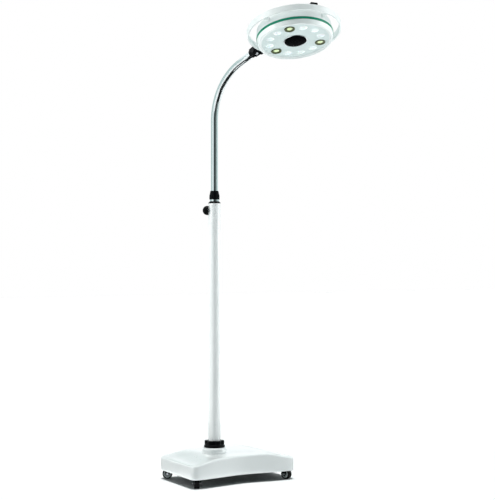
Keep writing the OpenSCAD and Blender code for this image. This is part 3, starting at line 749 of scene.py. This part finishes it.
def drum_front():
    """The bezel, the trim ring and the centre disc with its rim; outlines are in millimetres."""
    bezel = arc_points((122.8, 3.2), 3.2, 0, -180, 14)
    bezel += [(114.2, 3.5), (114.2, 4.7), (121.6, 4.7), (125.6, 16.9), (128.8, 16.9)]
    head_lathe("bezel_turned", bezel, WHITE_PLASTIC, ["front_bezel"], 0.3)
    trim = [(125.6, 17), (129.2, 17), (130, 17.9), (130, 25), (129.2, 25.9), (125.6, 25.9)]
    head_lathe("trim_turned", trim, GREEN, ["trim_ring"], 0.4)
    disc = [(0, 1.65), (9, 1.65), (9.4, 1.9), (10, 1.9), (10.4, 1.7), (19, 1.9), (19.4, 2.2), (20, 2.2),
            (20.4, 2.05), (29, 2.6), (36, 3.4), (37.2, 4.1), (37.2, 4.7), (33.8, 4.7), (33.8, 10.7),
            (31, 10.7), (31, 4.74), (0, 4.74)]
    head_lathe("centre_disc", disc, BLACK_GLOSS, ["centre_cap"], 0.2, 96)
    rim = [(37.4, 4.7), (37.4, 3.4), (38.4, 2.95), (40.1, 3.6), (40.6, 4.7)]
    head_lathe("centre_rim", rim, CHROME, ["centre_ring"], 0.3, 96)


def lenses():
    """Nine plain lenses, and three warm lenses with their dark bezels; outlines are in millimetres."""
    plain = [(0, 12.2), (0, 2.2)] + stepped_dome(2.4, 13.3, 2.6, 16)
    plain += [(13.8, 6.8), (15.2, 6.8), (15.2, 8.2), (13.6, 8.2), (6, 12.2)]
    module_lathe("lens_plain", PLAIN_ANGLES, plain, LENS_CLEAR, ["clear_lenses"])
    warm = [(0, 12.2), (0, 2.8)] + stepped_dome(3.0, 9.7, 2.4, 12) + [(10, 8.2), (6, 12.2)]
    module_lathe("lens_warm_yellow", WARM_ANGLES, warm, LENS_WARM, ["warm_lenses"])
    bezel = [(10.1, 4.4), (11.8, 3.8), (12.1, 3.9), (15.4, 2.4), (15.8, 2.2), (16.7, 2.2), (17.3, 2.5),
             (17.6, 3), (17.6, 6.8), (19, 6.8), (19, 8.2), (10.1, 8.2)]
    module_lathe("lens_bezel", WARM_ANGLES, bezel, OLIVE, ["lens_bezels"])


# ---- Arm and casters ----

ARM_ANGLE = math.radians(-72.5)
BEND_START = 1281 * MM
BEND_RADIUS = 213 * MM
BEND_TURN = math.radians(65)
BEND_STEPS = 60
STRAIGHT_STEPS = 12
TIP = 60 * MM
TIP_CHAMFER = 0.6 * MM
ARM_OUTER = 12.5 * MM
ARM_INNER = 11 * MM
ARM_SEGMENTS = 64
STOP_GAP = 0.1 * MM
STOP_HEIGHT = 4 * MM
STOP_CLEARANCE = 1 * MM
STOP_CHAMFER = 0.6 * MM


def arm_path():
    """Points and directions down the middle of the bent tube, from its lower end to its tip."""
    out = Vector((math.cos(ARM_ANGLE), math.sin(ARM_ANGLE), 0))
    up = Vector((0, 0, 1))
    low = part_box("arm_tube")[0].z
    stops = []
    for k in range(STRAIGHT_STEPS):
        stops.append((Vector((0, 0, low + (BEND_START - low) * k / STRAIGHT_STEPS)), up))
    for k in range(BEND_STEPS + 1):
        turn = BEND_TURN * k / BEND_STEPS
        reach = BEND_RADIUS * (1 - math.cos(turn))
        height = BEND_START + BEND_RADIUS * math.sin(turn)
        stops.append((out * reach + up * height, up * math.cos(turn) + out * math.sin(turn)))
    end, along = stops[-1]
    stops.append((end + along * (TIP - TIP_CHAMFER), along))
    return stops


def arm_tube():
    """The bent bright tube, and the two stop collars above and below the glide ring."""
    stops = arm_path()
    end, along = stops[-1]
    across = Vector((-math.sin(ARM_ANGLE), math.cos(ARM_ANGLE), 0))
    face = end + along * TIP_CHAMFER
    path = [(point, heading, ARM_OUTER) for point, heading in stops]
    path.append((end + along * 0.4 * MM, along, ARM_OUTER - 0.2 * MM))
    path.append((face, along, ARM_OUTER - 0.7 * MM))
    path.append((face, along, ARM_INNER + 0.2 * MM))
    path += [(point, heading, ARM_INNER) for point, heading in reversed(stops)]
    rings = []
    for point, heading, radius in path:
        side = across.cross(heading)
        ring = []
        for j in range(ARM_SEGMENTS):
            turn = TURN * j / ARM_SEGMENTS
            ring.append(point + across * (radius * math.cos(turn)) + side * (radius * math.sin(turn)))
        rings.append(ring)
    verts, faces = ring_skin(rings)
    add_piece("arm_tube_swept", verts, faces, "arm", CHROME, ["arm_tube"])
    glide_low, glide_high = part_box("glide_ring")
    stop_collar("stop_low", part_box("arm_tube")[0].z, glide_low.z - STOP_GAP)
    stop_collar("stop_high", glide_high.z + STOP_GAP, glide_high.z + STOP_GAP + STOP_HEIGHT)


def stop_collar(name, low, high):
    """A collar welded round the arm tube, inside the column, between two heights."""
    root = ARM_OUTER - 0.2 * MM
    edge = column_bore() - STOP_CLEARANCE
    outline = [(root, low), (edge - STOP_CHAMFER, low), (edge, low + STOP_CHAMFER),
               (edge, high - STOP_CHAMFER), (edge - STOP_CHAMFER, high), (root, high)]
    verts, faces = lathe(Matrix.Identity(4), outline, 64)
    add_piece(name, verts, faces, "arm", CHROME, ())


def column_bore():
    """Radius of the column's bore, read from the guide bush that fills it."""
    low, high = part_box("column_bush")
    return (high.x - low.x) / 2


def caster_rolling_parts(corner):
    """The hub and the tyre of one caster; outlines are in millimetres, symmetric about the wheel."""
    point = joint_point("roll_" + corner)
    place = frame_matrix(point, Vector((0, 0, 1)), joint_axis("roll_" + corner))
    body = "wheel_" + corner
    hub = [(2.55, -10), (4.6, -10), (5.1, -9.6), (5.5, -8), (7, -7.4), (8.6, -7.4), (10.4, -8),
           (11.4, -9.3), (13.3, -9.5), (13.5, -9.2)]
    hub += [(r, -z) for r, z in reversed(hub)]
    verts, faces = repeated_lathe([place], hub, 72)
    add_piece("hub_" + corner, verts, faces, body, WHEEL_GREY, ["caster_wheel_" + corner])
    tread = [(13.52, -9.5), (15, -9.5)] + arc_points((15, -6.5), 3, -90, -8, 8)
    tread += [(18, -4), (17.6, -3.6), (17.6, -3.2), (18, -2.8), (18, 2.8), (17.6, 3.2), (17.6, 3.6), (18, 4)]
    tread += arc_points((15, 6.5), 3, 8, 90, 8) + [(13.52, 9.5)]
    verts, faces = repeated_lathe([place], tread, 96)
    add_piece("tread_" + corner, verts, faces, body, TYRE, ["caster_tyre_" + corner])


finish_cad_nodes()
base_cover()
foot_collar()
gland_nut()
lock_knob()
drum_front()
lenses()
screws()
arm_tube()
for corner in CORNERS:
    caster_rolling_parts(corner)


# ---- Floor, light and camera ----

CAMERA_AZIMUTH = -30.2
CAMERA_DISTANCE = 4.453
CAMERA_SIDE = 0.118
CAMERA_HEIGHT = 0.82
CAMERA_LENS = 89.86
SUN_POWER = 2.6
SUN_ANGLE = math.radians(9)
SHADOW_HEIGHT = 0.14
FLOOR_REACH = 16

# Area lights: name, place as (right, forward, height), aim, size, power and colour
LIGHTS = (
    ("key", (-3.4, -0.8, 2.2), (0, 0, 0.9), (1.8, 2.6), 78, (1, 0.99, 0.97)),
    ("side", (3.3, -0.1, 2.0), (0, 0, 0.9), (1.6, 2.6), 74, (1, 1, 1)),
    ("top", (0, 0.4, 4.2), (0, 0, 0), (2.4, 2.4), 47, (1, 1, 1)),
)

# Cards seen in reflections: name, first and last angle, lower and upper edge, painted glow
CARD_REACH = 2.6
CARD_TOP = (CARD_REACH, 3.2)
CARD_FOOT = (CARD_REACH, 0.2)
RAISED_FOOT = (CARD_REACH, 0.95)
CARDS = (
    ("card_front", (-11, 20), CARD_FOOT, CARD_TOP, 0.0),
    ("card_dusk", (20, 50), CARD_FOOT, CARD_TOP, 0.09),
    ("card_fade", (50, 90), CARD_FOOT, CARD_TOP, 0.36),
    ("card_right", (90, 172), RAISED_FOOT, CARD_TOP, 0.78),
    ("card_left", (-176, -62), RAISED_FOOT, CARD_TOP, 0.66),
    ("card_low", (-30, 80), (1.4, 0.02), CARD_FOOT, 0.0),
    ("card_floor", (-180, 180), (0.28, 0.01), (1.4, 0.01), 0.0),
)
CARD_STEPS = 24

# World light: its darker, greener side, and its strength for diffuse and for glossy rays
DARK_SIDE = math.radians(CAMERA_AZIMUTH - 90 + 22)
DARK_SIDE_DROP = -0.1
DARK_START = 0.25
DARK_FULL = 0.95
PALE_FILL = (0.93, 0.985, 1.0, 1)
DARK_FILL = (0.1, 0.2, 0.19, 1)
DIFFUSE_FILL = 0.36
GLOSSY_FILL = 1.15


def camera_matrix():
    """Placement of the level camera that matches the photo."""
    angle = math.radians(CAMERA_AZIMUTH)
    forward = Vector((-math.sin(angle), math.cos(angle), 0))
    right = Vector((math.cos(angle), math.sin(angle), 0))
    place = -forward * CAMERA_DISTANCE + right * CAMERA_SIDE + Vector((0, 0, CAMERA_HEIGHT))
    rows = [[right[i], (0, 0, 1)[i], -forward[i], place[i]] for i in range(3)]
    return Matrix(rows + [[0, 0, 0, 1]])


def beside_camera(right, forward, height):
    """A place given by its distance to the right of and beyond the lamp, as the camera sees it."""
    angle = math.radians(CAMERA_AZIMUTH)
    x = right * math.cos(angle) - forward * math.sin(angle)
    y = right * math.sin(angle) + forward * math.cos(angle)
    return Vector((x, y, height))


def area_light(name, offset, target, size, power, colour):
    """A rectangular light at a place given as beside_camera takes it."""
    place = beside_camera(*offset)
    data = bpy.data.lights.new(name, "AREA")
    data.shape = "RECTANGLE"
    data.size = size[0]
    data.size_y = size[1]
    data.energy = power
    data.color = colour
    lamp = bpy.data.objects.new(name, data)
    lamp.location = place
    lamp.rotation_euler = (Vector(target) - place).to_track_quat("-Z", "Y").to_euler()
    bpy.context.scene.collection.objects.link(lamp)
    return lamp


def photo_camera():
    """The scene's camera, level and placed as for the photo."""
    scene = bpy.context.scene
    data = bpy.data.cameras.new("camera")
    data.lens = CAMERA_LENS
    data.sensor_width = 36
    data.clip_end = 60
    camera = bpy.data.objects.new("camera", data)
    camera.matrix_world = camera_matrix()
    scene.collection.objects.link(camera)
    scene.camera = camera


def studio():
    """Camera, floor, world, lights and cards. The floor and the lamp each have lights of their own."""
    photo_camera()
    scene = bpy.context.scene
    scene.view_settings.view_transform = "Standard"
    floor_paint = surface("pale_floor", (0.94, 0.96, 0.96), 0.8, grain=40, bump=0.02, tone=0.01)
    sheet = flat_floor(floor_paint)
    world = bpy.data.worlds.new("studio")
    world.use_nodes = True
    soft_room(world.node_tree)
    scene.world = world
    off_floor = bpy.data.collections.new("all_but_floor")
    off_floor.objects.link(sheet)
    off_floor.collection_objects[0].light_linking.link_state = "EXCLUDE"
    for settings in LIGHTS:
        area_light(*settings).light_linking.receiver_collection = off_floor
    floor_light(sheet)
    for settings in CARDS:
        dark_card(*settings)


def floor_light(sheet):
    """A soft sun for the floor alone, shaded only by the base."""
    on_floor = bpy.data.collections.new("floor_only")
    on_floor.objects.link(sheet)
    data = bpy.data.lights.new("floor_wash", "SUN")
    data.energy = SUN_POWER
    data.angle = SUN_ANGLE
    wash = bpy.data.objects.new("floor_wash", data)
    bpy.context.scene.collection.objects.link(wash)
    wash.light_linking.receiver_collection = on_floor
    wash.light_linking.blocker_collection = base_blockers()


def base_blockers():
    """Only the base throws a shadow on the floor; the head's would fall in front of the lamp."""
    blockers = bpy.data.collections.new("shadow_casters")
    for item in bpy.context.scene.objects:
        low = item.type == "MESH" and max(v.co.z for v in item.data.vertices) < SHADOW_HEIGHT
        if low and item.name != "floor":
            blockers.objects.link(item)
    return blockers


def soft_room(tree):
    """White for the camera; for the lamp a pale light, darker and greener from in front on the right."""
    nodes = tree.nodes
    path = nodes.new("ShaderNodeLightPath")
    seen = nodes.new("ShaderNodeBackground")
    seen.inputs["Color"].default_value = (1, 1, 1, 1)
    coords = nodes.new("ShaderNodeTexCoord")
    aim = nodes.new("ShaderNodeVectorMath")
    aim.operation = "DOT_PRODUCT"
    aim.inputs[1].default_value = (math.cos(DARK_SIDE), math.sin(DARK_SIDE), DARK_SIDE_DROP)
    tree.links.new(coords.outputs["Generated"], aim.inputs[0])
    ramp = nodes.new("ShaderNodeMapRange")
    ramp.interpolation_type = "SMOOTHSTEP"
    ramp.inputs["From Min"].default_value = DARK_START
    ramp.inputs["From Max"].default_value = DARK_FULL
    tree.links.new(aim.outputs["Value"], ramp.inputs["Value"])
    shade = nodes.new("ShaderNodeMix")
    shade.data_type = "RGBA"
    shade.inputs[6].default_value = PALE_FILL
    shade.inputs[7].default_value = DARK_FILL
    tree.links.new(ramp.outputs["Result"], shade.inputs[0])
    fill = nodes["Background"]
    strength = nodes.new("ShaderNodeMapRange")
    strength.inputs["To Min"].default_value = DIFFUSE_FILL
    strength.inputs["To Max"].default_value = GLOSSY_FILL
    tree.links.new(path.outputs["Is Glossy Ray"], strength.inputs["Value"])
    tree.links.new(strength.outputs["Result"], fill.inputs["Strength"])
    tree.links.new(shade.outputs[2], fill.inputs["Color"])
    mix = nodes.new("ShaderNodeMixShader")
    tree.links.new(path.outputs["Is Camera Ray"], mix.inputs["Fac"])
    tree.links.new(fill.outputs["Background"], mix.inputs[1])
    tree.links.new(seen.outputs["Background"], mix.inputs[2])
    tree.links.new(mix.outputs["Shader"], nodes["World Output"].inputs["Surface"])


def flat_floor(material):
    """A large pale floor that isn't part of the lamp."""
    mesh = bpy.data.meshes.new("floor")
    corners = [(x * FLOOR_REACH, y * FLOOR_REACH, 0) for x, y in ((-1, -1), (1, -1), (1, 1), (-1, 1))]
    mesh.from_pydata(corners, [], [(0, 1, 2, 3)])
    mesh.materials.append(material)
    sheet = bpy.data.objects.new("floor", mesh)
    bpy.context.scene.collection.objects.link(sheet)
    return sheet


def dark_card(name, angles, lower, upper, painted_glow):
    """A dark studio card that only reflections see.

    Its angles are measured from the camera's side, and each edge is given as distance and height.
    """
    toward = math.radians(CAMERA_AZIMUTH - 90)
    material = new_material(name)[0]
    shader = material.node_tree.nodes["Principled BSDF"]
    shader.inputs["Base Color"].default_value = (0.004, 0.006, 0.006, 1)
    shader.inputs["Roughness"].default_value = 1.0
    shader.inputs["Emission Color"].default_value = (0.8, 1, 0.98, 1)
    shader.inputs["Emission Strength"].default_value = painted_glow
    verts = []
    for k in range(CARD_STEPS + 1):
        angle = toward + math.radians(angles[0] + (angles[1] - angles[0]) * k / CARD_STEPS)
        for distance, height in (lower, upper):
            verts.append((distance * math.cos(angle), distance * math.sin(angle), height))
    mesh = bpy.data.meshes.new(name)
    mesh.from_pydata(verts, [], [(2 * i, 2 * i + 1, 2 * i + 3, 2 * i + 2) for i in range(CARD_STEPS)])
    mesh.materials.append(material)
    card = bpy.data.objects.new(name, mesh)
    bpy.context.scene.collection.objects.link(card)
    card.visible_camera = False
    card.visible_diffuse = False
    card.visible_shadow = False
    card.visible_transmission = False


studio()
